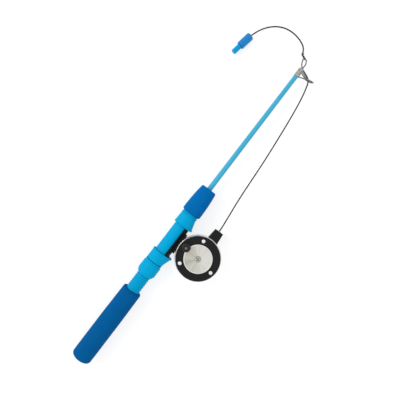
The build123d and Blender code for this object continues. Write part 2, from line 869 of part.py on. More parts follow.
# ---------------------------------------------------------------- front grip, blank and tip
with BuildPart() as foregrip:
    with BuildSketch(rod_side):
        with BuildLine():
            Line((foregrip_start, core_radius), (foregrip_start, foregrip_radius - 2.4))
            RadiusArc(
                (foregrip_start, foregrip_radius - 2.4),
                (foregrip_start + 2.4, foregrip_radius),
                2.4,
            )
            flank_line = Spline(
                (foregrip_start + 2.4, foregrip_radius),
                (foregrip_start + 0.36 * foregrip_length, foregrip_radius - 0.15),
                (foregrip_start + 0.7 * foregrip_length, foregrip_radius - 0.95),
                (foregrip_end - 0.8, foregrip_radius - 2.1),
                tangents=[(1, 0), (1, -0.08)],
            )
            Polyline(
                flank_line @ 1,
                (foregrip_end, foregrip_radius - 2.9),
                (foregrip_end, blank_radius),
                (core_end, blank_radius),
                (core_end, core_radius),
                (foregrip_start, core_radius),
            )
        make_face()
    revolve(axis=rod_axis)
finish(foregrip, "foregrip")

# Two arbors centre the blank in the seat tube.
with BuildPart() as blank_arbors:
    for start in (blank_start + 6, core_end - arbor_length - 1.5):
        turned(
            rod_side,
            rod_axis,
            (start, blank_radius),
            (start, seat_bore),
            (start + arbor_length, seat_bore),
            (start + arbor_length, blank_radius),
        )
finish(blank_arbors, "blank_arbors")

blank_end = rod_length - 2.4
with BuildPart() as blank:
    turned(
        rod_side,
        rod_axis,
        (blank_start, 0),
        (blank_start, blank_radius),
        (foregrip_end, blank_radius),
        (tip_tube_start, blank_tip_radius),
        (blank_end, blank_tip_radius),
        (blank_end, 0),
    )
finish(blank, "blank")

with BuildPart() as tip_tube:
    turned(
        rod_side,
        rod_axis,
        (tip_tube_start, blank_tip_radius),
        (tip_tube_start, tip_tube_radius),
        (rod_length - 0.8, tip_tube_radius),
        (rod_length, tip_tube_radius - 0.8),
        (rod_length, 0),
        (blank_end, 0),
        (blank_end, blank_tip_radius),
    )
finish(tip_tube, "tip_tube")

# The tip ring's own directions: its axis, the way towards the rod, and up.
ring_centre = place(ring_along, -ring_offset, rod_z)
ring_ahead = Vector(math.cos(math.radians(ring_tilt)), math.sin(math.radians(ring_tilt)), 0)
ring_near = Vector(-ring_ahead.Y, ring_ahead.X, 0)
ring_axis = ring_ahead * math.cos(math.radians(ring_lean)) + Vector(0, 0, math.sin(math.radians(ring_lean)))
ring_up = ring_axis.cross(ring_near)
frame_major = ring_major + 0.5
frame_minor = 0.7


def ring_wire(major, minor, mode=Mode.ADD):
    """A closed round wire in the tip ring's plane."""
    section_plane = Plane(origin=ring_centre, x_dir=ring_near, z_dir=ring_up)
    with BuildSketch(section_plane) as section:
        with Locations((major, 0)):
            Circle(minor)
    revolve(section.sketch, axis=Axis(ring_centre, ring_axis), mode=mode)


with BuildPart() as tip_ring:
    ring_wire(ring_major, ring_minor)
finish(tip_ring, "tip_ring")

leg_diameter = 1.3
with BuildPart() as tip_frame:
    ring_wire(frame_major, frame_minor)
    leg_ends = []
    for side in (-1, 1):
        foot_point = place(rod_length - 2.9, -2.0, rod_z + side * 2.2)
        ring_point = ring_centre + ring_near * (frame_major * math.cos(math.radians(45)))
        ring_point = ring_point + ring_up * (side * frame_major * math.sin(math.radians(45)))
        leg_ends.append((foot_point, ring_point))
    leg_ends.append((place(tip_tube_start + 1.6, -2.8, rod_z), ring_centre + ring_near * frame_major))
    for start, end in leg_ends:
        with BuildSketch(Plane(origin=start, z_dir=end - start)) as wire:
            Circle(leg_diameter / 2)
        extrude(wire.sketch, amount=(end - start).length)
    disc(across(tip_tube_start - 1), tip_tube_radius, tip_tube_length + 2, mode=Mode.SUBTRACT)
    ring_wire(ring_major, ring_minor, mode=Mode.SUBTRACT)
finish(tip_frame, "tip_frame")

# ---------------------------------------------------------------- line, snap, swivel and leader
# The inner stretch runs straight from the winding to the back of the guide's eyelet.
line_start = guide_reach - front_wall - 0.3
with BuildPart() as line_inner:
    tangent_radius = wound_radius + line_diameter / 2 + 0.1
    off_centre = math.atan2(guide_shift, line_start)
    tangent_angle = math.degrees(math.acos(tangent_radius / math.hypot(line_start, guide_shift)) - off_centre)
    off_spool = Vector(reel_x, reel_y, guide_height) + Vector(*toward(tangent_angle, tangent_radius))
    at_eyelet = Vector(reel_x + line_start, guide_y, guide_height)
    with BuildSketch(Plane(origin=off_spool, z_dir=at_eyelet - off_spool)) as section:
        Circle(line_diameter / 2)
    extrude(section.sketch, amount=(at_eyelet - off_spool).length)
finish(line_inner, "line_inner")

# From the guide to the tip ring: share of the way, share of the sideways drift still to come, height.
line_route = [
    (0.0, 1.0, guide_height),
    (0.054, 0.975, 12.0),
    (0.144, 0.878, 11.7),
    (0.253, 0.786, 11.4),
    (0.376, 0.718, 11.1),
    (0.509, 0.634, 10.8),
    (0.638, 0.521, 10.6),
    (0.760, 0.408, 10.5),
    (0.854, 0.294, 10.5),
    (0.916, 0.193, 10.6),
    (0.961, 0.097, 11.1),
    (0.995, 0.0, 11.4),
]
# From the tip ring down to the snap: distance past the tip, distance from the rod's axis, height.
line_drop = [
    (-2.9, -12.4, 9.7),
    (0.0, -8.6, 7.0),
    (2.6, -4.9, 4.3),
    (4.6, -1.9, 2.5),
]
# From the swivel to the end sleeve, in the same way.
leader_route = [
    (21.6, 10.6, 1.4),
    (26.2, 12.9, 1.1),
    (29.6, 17.0, 1.0),
    (32.1, 22.8, 1.0),
    (33.7, 29.4, 1.0),
    (34.3, 37.0, 1.0),
    (33.2, 45.2, 1.0),
    (30.2, 52.8, 1.0),
    (25.3, 59.7, 1.0),
    (18.8, 65.4, 1.4),
    (11.5, 69.4, 2.7),
    (4.4, 72.0, 4.0),
    (-2.7, 73.9, 4.9),
]
guide_exit = reel_along + line_start
line_span = ring_along - guide_exit
line_drift = reel_offset + guide_shift - ring_offset
with BuildPart() as line_main:
    line_points = []
    for share, drift, height in line_route:
        line_points.append(place(guide_exit + share * line_span, -ring_offset - drift * line_drift, height))
    for past_tip, aside, height in line_drop:
        line_points.append(place(rod_length + past_tip, aside, height))
    run = rounded_wire(line_points, arc_radii("line_main", line_points), line_diameter)
    print("line_main length", round(run, 1), "volume ratio",
          round(line_main.part.volume / (run * math.pi * line_diameter ** 2 / 4), 4))
finish(line_main, "line_main")

with BuildPart() as leader:
    leader_points = [place(rod_length + past_tip, aside, height) for past_tip, aside, height in leader_route]
    run = rounded_wire(leader_points, arc_radii("leader", leader_points), line_diameter)
    print("leader length", round(run, 1), "volume ratio",
          round(leader.part.volume / (run * math.pi * line_diameter ** 2 / 4), 4))
finish(leader, "leader")

knot_radius = line_diameter / 2 + 0.45


def knot(end_point, before_point, length):
    """A small wound knot that goes on from the end of a line."""
    heading = (end_point - before_point).normalized()
    side = Plane(origin=end_point, x_dir=heading, z_dir=Vector(0, 0, 1).cross(heading).cross(heading))
    turned(
        side,
        Axis(end_point, heading),
        (0, 0),
        (0, line_diameter / 2),
        (0.5, knot_radius),
        (length - 0.5, knot_radius),
        (length, line_diameter / 2),
        (length, 0),
    )


with BuildPart() as line_knot:
    knot(line_points[-1], line_points[-2], 2.4)
finish(line_knot, "line_knot")

# The snap: one loop of spring wire, narrow at the line's end, that lies on the ground.
snap_height = snap_wire_diameter / 2 + 0.15
snap_corners = [
    (5.8, -0.3),
    (10.4, 3.6),
    (16.9, 6.3),
    (17.6, 1.7),
    (12.4, -1.1),
]
snap_radii = [0.7, 4.0, 1.4, 1.8, 6.0]
with BuildPart() as snap_wire:
    with BuildLine() as snap_loop:
        FilletPolyline(
            *[place(rod_length + past_tip, aside, snap_height) for past_tip, aside in snap_corners],
            radius=snap_radii,
            close=True,
        )
    with BuildSketch(Plane(origin=snap_loop.line @ 0, z_dir=snap_loop.line % 0)) as section:
        Circle(snap_wire_diameter / 2)
    sweep(section.sketch, path=snap_loop.line)
finish(snap_wire, "snap_wire")

# The swivel: a small barrel with a round eye at each end.
swivel_start = place(rod_length + 17.9, 5.7, 1.3)
swivel_heading = Vector(0.4, 0.92, 0).normalized()
swivel_side = Plane(origin=swivel_start, x_dir=swivel_heading, z_dir=(0, 0, 1))
swivel_length = 3.0
swivel_radius = 1.2
eye_major = 0.95
eye_minor = 0.35
with BuildPart() as swivel_barrel:
    turned(
        swivel_side,
        Axis(swivel_start, swivel_heading),
        (0, 0),
        (0, 0.7),
        (0.6, swivel_radius),
        (swivel_length - 0.6, swivel_radius),
        (swivel_length, 0.7),
        (swivel_length, 0),
    )
finish(swivel_barrel, "swivel_barrel")

eye_reach = eye_major + eye_minor
with BuildPart() as swivel_eyes:
    for distance in (-eye_reach, swivel_length + eye_reach):
        eye_centre = swivel_start + swivel_heading * distance
        with BuildSketch(Plane(origin=eye_centre, x_dir=swivel_heading, z_dir=(0, 0, 1))) as ring:
            Circle(eye_reach)
            Circle(eye_major - eye_minor, mode=Mode.SUBTRACT)
        extrude(ring.sketch, amount=eye_minor, both=True)
finish(swivel_eyes, "swivel_eyes")

with BuildPart() as leader_knot:
    knot(leader_points[0], leader_points[1], 2.2)
finish(leader_knot, "leader_knot")

# The end fitting: a glossy sleeve that the leader goes into, and a lighter stem out of its other end.
sleeve_heading = Vector(-16.5, 2.8, 0).normalized()
sleeve_mouth = Vector(leader_points[-1].X, leader_points[-1].Y, sleeve_radius)
sleeve_side = Plane(origin=sleeve_mouth, x_dir=sleeve_heading, z_dir=(0, 0, 1))
sleeve_axis = Axis(sleeve_mouth, sleeve_heading)
leader_hole = line_diameter / 2 + 0.2
leader_hole_depth = 0.9
with BuildPart() as end_sleeve:
    turned(
        sleeve_side,
        sleeve_axis,
        (leader_hole_depth, 0),
        (leader_hole_depth, leader_hole),
        (0, leader_hole),
        (0, sleeve_radius - 0.8),
        (0.8, sleeve_radius),
        (sleeve_length - 0.8, sleeve_radius),
        (sleeve_length, sleeve_radius - 0.8),
        (sleeve_length, shank_radius),
        (sleeve_length - shank_length, shank_radius),
        (sleeve_length - shank_length, 0),
    )
finish(end_sleeve, "end_sleeve")

with BuildPart() as end_stem:
    turned(
        sleeve_side,
        sleeve_axis,
        (sleeve_length - shank_length, 0),
        (sleeve_length - shank_length, shank_radius),
        (sleeve_length, shank_radius),
        (sleeve_length, stem_radius),
        (sleeve_length + stem_length - 0.5, stem_radius),
        (sleeve_length + stem_length, stem_radius - 0.5),
        (sleeve_length + stem_length, 0),
    )
finish(end_stem, "end_stem")
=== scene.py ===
import math

import bmesh
import bpy
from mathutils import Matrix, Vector, noise


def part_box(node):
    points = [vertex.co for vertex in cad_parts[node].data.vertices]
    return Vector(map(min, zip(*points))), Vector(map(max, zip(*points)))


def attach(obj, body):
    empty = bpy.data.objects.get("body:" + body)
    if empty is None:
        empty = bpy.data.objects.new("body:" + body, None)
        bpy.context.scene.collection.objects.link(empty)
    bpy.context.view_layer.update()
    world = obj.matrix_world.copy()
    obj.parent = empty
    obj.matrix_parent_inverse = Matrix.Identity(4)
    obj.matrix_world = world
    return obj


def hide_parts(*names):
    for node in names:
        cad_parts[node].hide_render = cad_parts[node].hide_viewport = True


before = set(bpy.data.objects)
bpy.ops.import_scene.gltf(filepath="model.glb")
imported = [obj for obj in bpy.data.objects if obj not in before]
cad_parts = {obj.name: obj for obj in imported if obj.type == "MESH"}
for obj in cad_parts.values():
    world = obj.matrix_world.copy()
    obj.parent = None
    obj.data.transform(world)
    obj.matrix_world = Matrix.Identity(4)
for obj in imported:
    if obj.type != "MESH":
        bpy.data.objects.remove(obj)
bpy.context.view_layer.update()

# ---------------------------------------------------------------------------------------------
# Studio: a white board under even, soft daylight, seen from straight above with the rod slanted.
# A weak softbox past the rod's free side keeps a little shape; the board glows, so shadows stay pale.


def colour(code):
    """An sRGB hex colour as the linear colour that the shaders work in."""
    parts = [int(code[i:i + 2], 16) / 255 for i in (0, 2, 4)]
    linear = [part / 12.92 if part <= 0.04045 else ((part + 0.055) / 1.055) ** 2.4 for part in parts]
    return (*linear, 1.0)


def add_node(material, kind, values, **links):
    """Adds a shader node with its settings; links name an input, with _ for a space, and its source."""
    made = material.node_tree.nodes.new(kind)
    for name, value in values.items():
        if name in made.inputs:
            made.inputs[name].default_value = value
        else:
            setattr(made, name, value)
    for name, source in links.items():
        material.node_tree.links.new(source, made.inputs[name.replace("_", " ")])
    return made


def new_material(name):
    """An empty material and its output node."""
    material = bpy.data.materials.new(name)
    material.use_nodes = True
    material.node_tree.nodes.clear()
    return material, add_node(material, "ShaderNodeOutputMaterial", {})


def close_material(material, output, shader):
    """Joins the last shader to the material's output."""
    material.node_tree.links.new(shader.outputs[0], output.inputs["Surface"])
    return material


def matt_floor():
    """Matt painted board: it only catches soft shadows."""
    material, output = new_material("matt_painted_board")
    grain = add_node(material, "ShaderNodeTexNoise", {"Scale": 900.0, "Detail": 3.0})
    bump = add_node(material, "ShaderNodeBump", {"Strength": 0.05, "Distance": 0.0002},
                    Height=grain.outputs["Fac"])
    board = add_node(material, "ShaderNodeBsdfPrincipled",
                     {"Base Color": colour("969696"), "Roughness": 0.9, "Specular IOR Level": 0.1,
                      "Emission Color": colour("FFFFFF"), "Emission Strength": 0.73},
                     Normal=bump.outputs["Normal"])
    return close_material(material, output, board)


butt_low, butt_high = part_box("butt_grip")
blank_low, blank_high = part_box("blank")
butt_end = butt_low[0]
rod_y = (blank_low[1] + blank_high[1]) / 2
rod_z = (blank_low[2] + blank_high[2]) / 2


def on_rod(along, aside, height):
    """A point from its distance along the rod, its distance from the rod's axis and its height."""
    return Vector((butt_end + along, rod_y + aside, height))


floor_size = 6.0
bpy.ops.mesh.primitive_plane_add(size=floor_size, location=(0, 0, 0))
floor = bpy.context.object
floor.name = "floor"
floor.data.materials.append(matt_floor())

world = bpy.data.worlds.new("soft_daylight")
bpy.context.scene.world = world
world.use_nodes = True
world.node_tree.nodes["Background"].inputs["Color"].default_value = (1.0, 1.0, 1.0, 1.0)
world.node_tree.nodes["Background"].inputs["Strength"].default_value = 0.92
bpy.context.scene.view_settings.view_transform = "Standard"


def softbox(name, place, size, power, aim):
    """A square area light that points at a place on the floor."""
    lamp = bpy.data.lights.new(name, "AREA")
    lamp.size = size
    lamp.energy = power
    box = bpy.data.objects.new(name, lamp)
    box.location = place
    box.rotation_euler = (Vector(aim) - Vector(place)).to_track_quat("-Z", "Y").to_euler()
    bpy.context.scene.collection.objects.link(box)


key_place = (-0.15, 0.95, 0.9)
key_size = 0.4
key_power = 5.0
softbox("key_softbox", key_place, key_size, key_power, (0, 0, 0))

# The view's middle lies on the rod, ahead of the reel; at the rod's height the view is 0.48 m wide.
view_middle = 0.2369
view_aside = 0.0012
view_width = 0.48
sensor_width = 36.0
camera_height = 0.45
rod_slant = math.radians(52.57)
lens = bpy.data.cameras.new("camera")
lens.sensor_width = sensor_width
lens.lens = sensor_width * (camera_height - rod_z) / view_width
lens.clip_start = 0.01
camera = bpy.data.objects.new("camera", lens)
camera.location = on_rod(view_middle, view_aside, camera_height)
camera.rotation_euler = (0, 0, -rod_slant)
bpy.context.scene.collection.objects.link(camera)
bpy.context.scene.camera = camera

# ---------------------------------------------------------------------------------------------
# Line and leader: coated braid of 1.7 mm, three plies laid up with a right-hand twist.
# The line leaves the guide's eyelet, goes through the tip ring and down to the snap; the leader
# starts at the swivel and lies on the floor in one long bow, and lifts at the end sleeve.

line_diameter = 0.0017
ply_twist = 0.0060          # length of one full twist
ply_share = 0.36            # how far out each ply's middle lies, in line radii
ply_points = 7
line_step = 0.00035
line_route = [
    (0.2186, -0.0403, 0.0122),
    (0.2300, -0.0397, 0.0120),
    (0.2490, -0.0374, 0.0117),
    (0.2720, -0.0351, 0.0114),
    (0.2980, -0.0335, 0.0111),
    (0.3261, -0.0315, 0.0108),
    (0.3533, -0.0288, 0.0106),
    (0.3791, -0.0260, 0.0105),
    (0.3990, -0.0233, 0.0105),
    (0.4121, -0.0209, 0.0106),
    (0.4216, -0.0185, 0.0111),
    (0.4287, -0.0162, 0.0114),
    (0.4330, -0.0124, 0.0097),
    (0.4359, -0.0086, 0.0070),
    (0.4385, -0.0049, 0.0043),
    (0.4405, -0.0019, 0.0025),
]
leader_route = [
    (0.4575, 0.0106, 0.0014),
    (0.4621, 0.0129, 0.0011),
    (0.4655, 0.0170, 0.0010),
    (0.4680, 0.0228, 0.0010),
    (0.4696, 0.0294, 0.0010),
    (0.4702, 0.0370, 0.0010),
    (0.4691, 0.0452, 0.0010),
    (0.4661, 0.0528, 0.0010),
    (0.4612, 0.0597, 0.0010),
    (0.4547, 0.0654, 0.0014),
    (0.4474, 0.0694, 0.0027),
    (0.4403, 0.0720, 0.0040),
    (0.4332, 0.0739, 0.0049),
]


def braid_coating():
    """Polyurethane-coated braid: soot black, half matt, mottled a little lighter and darker at random."""
    material, output = new_material("coated_braid")
    place = add_node(material, "ShaderNodeTexCoord", {})
    mottle = add_node(material, "ShaderNodeTexNoise", {"Scale": 700.0, "Detail": 2.0},
                      Vector=place.outputs["Object"])
    tone = add_node(material, "ShaderNodeMixRGB", {"Color1": colour("141416"), "Color2": colour("28282B")},
                    Fac=mottle.outputs["Fac"])
    fibres = add_node(material, "ShaderNodeTexNoise", {"Scale": 6000.0, "Detail": 2.0},
                      Vector=place.outputs["Object"])
    bump = add_node(material, "ShaderNodeBump", {"Strength": 0.35, "Distance": 0.00005},
                    Height=fibres.outputs["Fac"])
    ply = add_node(material, "ShaderNodeBsdfPrincipled",
                   {"Roughness": 0.5, "Specular IOR Level": 0.25},
                   Base_Color=tone.outputs["Color"], Normal=bump.outputs["Normal"])
    return close_material(material, output, ply)


coated_braid = braid_coating()


def smooth_route(points):
    """The smooth line through a route's control points, as a list of points."""
    curve = bpy.data.curves.new("route", "CURVE")
    curve.dimensions = "3D"
    curve.resolution_u = 24
    spline = curve.splines.new("NURBS")
    spline.points.add(len(points) - 1)
    for control, point in zip(spline.points, points):
        control.co = (*on_rod(*point), 1.0)
    spline.order_u = 3
    spline.use_endpoint_u = True
    holder = bpy.data.objects.new("route", curve)
    mesh = bpy.data.meshes.new_from_object(holder)
    line = [vertex.co.copy() for vertex in mesh.vertices]
    bpy.data.meshes.remove(mesh)
    bpy.data.curves.remove(curve)
    return line


def evenly(line, step):
    """The same line with points one step apart, and its length."""
    lengths = [0.0]
    for start, end in zip(line, line[1:]):
        lengths.append(lengths[-1] + (end - start).length)
    count = max(2, round(lengths[-1] / step))
    spaced, i = [], 0
    for k in range(count + 1):
        wanted = lengths[-1] * k / count
        while i < len(line) - 2 and lengths[i + 1] < wanted:
            i += 1
        share = (wanted - lengths[i]) / (lengths[i + 1] - lengths[i])
        spaced.append(line[i].lerp(line[i + 1], share))
    return spaced, lengths[-1]


def across_line(line):
    """For each point of a line, two directions across it that turn as little as possible."""
    sides, side = [], None
    for i, point in enumerate(line):
        ahead = (line[min(i + 1, len(line) - 1)] - line[max(i - 1, 0)]).normalized()
        if side is None:
            side = ahead.orthogonal().normalized()
        else:
            side = (side - ahead * side.dot(ahead)).normalized()
        sides.append((side.copy(), ahead.cross(side)))
    return sides


def tube_mesh(mesh, line, radius, ring_points):
    """Adds a closed round tube along a line to a bmesh."""
    rings = []
    for point, (side, other) in zip(line, across_line(line)):
        ring = []
        for k in range(ring_points):
            turn = 2 * math.pi * k / ring_points
            ring.append(mesh.verts.new(point + (side * math.cos(turn) + other * math.sin(turn)) * radius))
        rings.append(ring)
    for low, high in zip(rings, rings[1:]):
        for k in range(ring_points):
            after = (k + 1) % ring_points
            mesh.faces.new((low[k], low[after], high[after], high[k]))
    mesh.faces.new(list(reversed(rings[0])))
    mesh.faces.new(rings[-1])


def finished_piece(name, mesh, material):
    """Turns a bmesh into a smooth-shaded object with one material."""
    bmesh.ops.recalc_face_normals(mesh, faces=mesh.faces)
    data = bpy.data.meshes.new(name)
    mesh.to_mesh(data)
    mesh.free()
    for face in data.polygons:
        face.use_smooth = True
    piece = bpy.data.objects.new(name, data)
    piece.data.materials.append(material)
    bpy.context.scene.collection.objects.link(piece)
    return piece


def laid_line(name, points):
    """Three twisted plies along a route, with the route's smooth line and its length."""
    line, length = evenly(smooth_route(points), line_step)
    sides = across_line(line)
    ply_offset = ply_share * line_diameter / 2
    mesh = bmesh.new()
    for ply in range(3):
        strand = []
        for i, (point, (side, other)) in enumerate(zip(line, sides)):
            turn = 2 * math.pi * (length * i / (len(line) - 1) / ply_twist + ply / 3)
            strand.append(point + (side * math.cos(turn) + other * math.sin(turn)) * ply_offset)
        tube_mesh(mesh, strand, line_diameter / 2 - ply_offset, ply_points)
    return finished_piece(name, mesh, coated_braid), line, length


main_line, main_path, main_length = laid_line("fishing_line", line_route)
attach(main_line, "rod")
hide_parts("line_main")

leader, leader_path, leader_length = laid_line("leader_line", leader_route)
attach(leader, "rod")
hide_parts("leader")

# The knots are close wraps of the same line, pulled tight round its own end.
wrap_radius = 0.00085
wrap_thickness = 0.00045
wrap_steps = 26
wrap_points = 8
core_points = 10
line_knot_length = 0.0024
leader_knot_length = 0.0022


def wrapped_knot(name, node, end, heading, length, wraps):
    """A knot of close wraps that goes on from the end of a line, in place of a CAD knot."""
    heading = heading.normalized()
    side = heading.orthogonal().normalized()
    other = heading.cross(side)
    mesh = bmesh.new()
    steps = wrap_steps * wraps
    coil = []
    for i in range(steps + 1):
        turn = 2 * math.pi * wraps * i / steps
        along = wrap_thickness + (length - 2 * wrap_thickness) * i / steps
        coil.append(end + heading * along + (side * math.cos(turn) + other * math.sin(turn)) * wrap_radius)
    tube_mesh(mesh, coil, wrap_thickness, wrap_points)
    core = [end, end + heading * length * 0.5, end + heading * length]
    tube_mesh(mesh, core, line_diameter / 2, core_points)
    knot = finished_piece(name, mesh, coated_braid)
    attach(knot, "rod")
    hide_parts(node)
    return knot


line_knot = wrapped_knot("line_end_knot", "line_knot", main_path[-1], main_path[-1] - main_path[-6],
                         line_knot_length, wraps=4)
leader_knot = wrapped_knot("leader_end_knot", "leader_knot", leader_path[0], leader_path[0] - leader_path[5],
                           leader_knot_length, wraps=3)


def finish_nodes(material, *nodes):
    """Gives CAD nodes their finish."""
    for node in nodes:
        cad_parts[node].data.materials.clear()
        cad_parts[node].data.materials.append(material)


# The stretch inside the guide and the turns on the spool are the same line, mostly out of sight.
finish_nodes(coated_braid, "line_inner", "wound_line")

# ---------------------------------------------------------------------------------------------
# Butt grip and front grip: moulded closed-cell EVA foam, ground to shape, so the skin is matt and
# full of cut cells, drawn coarser here than the real ones so that they show. Each is pushed over the
# seat tube with glue.

foam_ring_step = 0.00065
foam_ring_points = 168
pit_depth = 0.00009
dent_depth = 0.00012
pit_frequency = 1300
pit_edge = 0.55
dent_frequency = 110
core_radius = 0.0080
seat_start = 0.0120
grip_radius = (butt_high[2] - butt_low[2]) / 2
grip_length = butt_high[0] - butt_low[0]
grip_front_radius = 0.0121
grip_straight = 0.062
end_rise = 0.0009
end_radius = 0.0101
butt_corner = 0.0025
front_chamfer = 0.0006


def rounded(points, centre, radius, steps=6):
    """An outline's quarter-round corner: from the first point to the second one about a centre."""
    first, last = [Vector(point) - Vector(centre) for point in points]
    arc = []
    for k in range(steps + 1):
        spoke = first.lerp(last, k / steps).normalized() * radius
        arc.append((centre[0] + spoke[0], centre[1] + spoke[1]))
    return arc


def foam_grip(name, node, outline, open_from, material):
    """A turned foam grip: the outer skin, up to the outline's point number open_from, has pits and dents."""
    skin = [Vector((along, radius, 0)) for along, radius in outline[:open_from]]
    skin, _ = evenly(skin, foam_ring_step)
    rows = [(point[0], point[1], True) for point in skin] + [(*point, False) for point in outline[open_from:]]
    mesh = bmesh.new()
    rings = []
    for along, radius, is_skin in rows:
        ring = []
        for k in range(foam_ring_points if radius > 0 else 1):
            turn = 2 * math.pi * k / foam_ring_points
            across = Vector((0, math.cos(turn), math.sin(turn)))
            point = on_rod(along, 0, rod_z) + across * radius
            if is_skin and radius > core_radius:
                pits = noise.voronoi(point * pit_frequency)[0][0]
                dents = noise.noise(point * dent_frequency)
                point -= across * (pit_depth * max(0.0, pit_edge - pits) + dent_depth * (0.5 + 0.5 * dents))
            ring.append(mesh.verts.new(point))
        rings.append(ring)
    for low, high in zip(rings, rings[1:]):
        for k in range(foam_ring_points):
            after = (k + 1) % foam_ring_points
            corners = [low[k % len(low)], low[after % len(low)], high[after % len(high)], high[k % len(high)]]
            mesh.faces.new(list(dict.fromkeys(corners)))
    grip = finished_piece(name, mesh, material)
    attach(grip, "rod")
    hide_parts(node)
    return grip


def eva_foam(name, deep, pale):
    """Ground EVA foam: matt, with cut cells and a faint cloudiness."""
    material, output = new_material(name)
    place = add_node(material, "ShaderNodeTexCoord", {})
    clouds = add_node(material, "ShaderNodeTexNoise", {"Scale": 90.0, "Detail": 4.0},
                      Vector=place.outputs["Object"])
    cells = add_node(material, "ShaderNodeTexVoronoi", {"Scale": 1500.0}, Vector=place.outputs["Object"])
    specks = add_node(material, "ShaderNodeTexNoise", {"Scale": 2600.0, "Detail": 3.0},
                      Vector=place.outputs["Object"])
    tone = add_node(material, "ShaderNodeMixRGB", {"Color1": colour(deep), "Color2": colour(pale)},
                    Fac=clouds.outputs["Fac"])
    pits = add_node(material, "ShaderNodeBump", {"Strength": 0.55, "Distance": 0.00015},
                    Height=cells.outputs["Distance"])
    grain = add_node(material, "ShaderNodeBump", {"Strength": 0.35, "Distance": 0.00008},
                     Height=specks.outputs["Fac"], Normal=pits.outputs["Normal"])
    foam = add_node(material, "ShaderNodeBsdfPrincipled",
                    {"Roughness": 0.95, "Specular IOR Level": 0.06},
                    Base_Color=tone.outputs["Color"], Normal=grain.outputs["Normal"])
    return close_material(material, output, foam)


butt_outline = [
    (0.0, 0.0),
    (0.0001, 0.0030),
    (0.0003, 0.0060),
    (end_rise, end_radius),
    *rounded([(end_rise, end_radius), (end_rise + butt_corner, grip_radius)],
             (end_rise + butt_corner, grip_radius - butt_corner), butt_corner),
    (grip_straight, grip_radius),
    (grip_length - front_chamfer, grip_front_radius),
    (grip_length, grip_front_radius - front_chamfer),
    (grip_length, core_radius),
    (seat_start, core_radius),
    (seat_start, 0.0),
]
butt_foam = eva_foam("ground_eva_foam_navy", deep="004F88", pale="005A96")
butt_grip = foam_grip("butt_grip_foam", "butt_grip", butt_outline, -2, butt_foam)

front_low, front_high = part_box("foregrip")
front_radius = (front_high[2] - front_low[2]) / 2
front_start = front_low[0] - butt_end
front_end = front_high[0] - butt_end
front_length = front_end - front_start
front_corner = 0.0024
nose_rounding = 0.0008
nose_loss = 0.0022
blank_bore = 0.0033
blank_wall = 0.0056
front_taper = [             # share of the grip's length, and how much its radius has lost there
    (0.20, 0.00003),
    (0.36, 0.00018),
    (0.53, 0.0005),
    (0.70, 0.00098),
    (0.86, 0.0016),
]
front_outline = [
    (front_start, core_radius),
    *rounded([(front_start, front_radius - front_corner), (front_start + front_corner, front_radius)],
             (front_start + front_corner, front_radius - front_corner), front_corner),
    *[(front_start + share * front_length, front_radius - loss) for share, loss in front_taper],
    (front_end - nose_rounding, front_radius - nose_loss),
    (front_end, front_radius - nose_loss - nose_rounding),
    (front_end, blank_bore),
    (front_end - blank_wall, blank_bore),
    (front_end - blank_wall, core_radius),
    (front_start, core_radius),
]
front_foam = eva_foam("ground_eva_foam_blue", deep="005FA2", pale="0068AC")
front_grip = foam_grip("front_grip_foam", "foregrip", front_outline, -3, front_foam)

# ---------------------------------------------------------------------------------------------
# Reel seat: bright blue injection-moulded ABS, satin from the tool's fine spark-eroded grain.
# Seat tube, lock nut, both hoods and the trim ring are the same plastic; the arbors are hidden.
# How far the painted shade in the plastics' inner corners reaches.
corner_shade_reach = 0.0011


def moulded_plastic(name, base, worn, roughness, glint, grain, edge):
    """Injection-moulded plastic: tool grain, slightly rounded edges and painted shade darkening the inner
    corners.
    """
    material, output = new_material(name)
    place = add_node(material, "ShaderNodeTexCoord", {})
    clouds = add_node(material, "ShaderNodeTexNoise", {"Scale": 60.0, "Detail": 3.0},
                      Vector=place.outputs["Object"])
    tone = add_node(material, "ShaderNodeMixRGB", {"Color1": colour(base), "Color2": colour(worn)},
                    Fac=clouds.outputs["Fac"])
    # Painted shade: where little light reaches, in inner corners, grooves and joints, the colour darkens
    # towards a dark blue-black.
    corners = add_node(material, "ShaderNodeAmbientOcclusion", {"samples": 8, "Distance": corner_shade_reach})
    depth = add_node(material, "ShaderNodeMapRange",
                     {"From Min": 0.5, "From Max": 0.92, "To Min": 0.3, "To Max": 1.0},
                     Value=corners.outputs["AO"])
    shade_darkened = add_node(material, "ShaderNodeMixRGB", {"Color1": colour("04283A")},
                      Fac=depth.outputs["Result"], Color2=tone.outputs["Color"])
    gloss = add_node(material, "ShaderNodeMapRange", {"To Min": roughness - 0.06, "To Max": roughness + 0.06},
                     Value=clouds.outputs["Fac"])
    grit = add_node(material, "ShaderNodeTexNoise", {"Scale": 1 / grain, "Detail": 2.0},
                    Vector=place.outputs["Object"])
    rounded_edge = add_node(material, "ShaderNodeBevel", {"samples": 4, "Radius": edge})
    bump = add_node(material, "ShaderNodeBump", {"Strength": 0.12, "Distance": grain / 6},
                    Height=grit.outputs["Fac"], Normal=rounded_edge.outputs["Normal"])
    plastic = add_node(material, "ShaderNodeBsdfPrincipled", {"Specular IOR Level": glint},
                       Base_Color=shade_darkened.outputs["Color"], Roughness=gloss.outputs["Result"],
                       Normal=bump.outputs["Normal"])
    return close_material(material, output, plastic)


satin_abs = moulded_plastic("satin_moulded_abs", base="009CCC", worn="009FD0", roughness=0.5,
                            glint=0.04, grain=0.0003, edge=0.00025)
finish_nodes(satin_abs, "reel_seat", "lock_nut", "sliding_hood", "front_hood", "trim_ring", "blank_arbors")

# ---------------------------------------------------------------------------------------------
# Blank: solid glass fibre ground to a slight taper and dipped in pale blue enamel. The tape wrap of
# its moulding still shows as a fine spiral under the enamel.

wrap_pitch = 0.0011


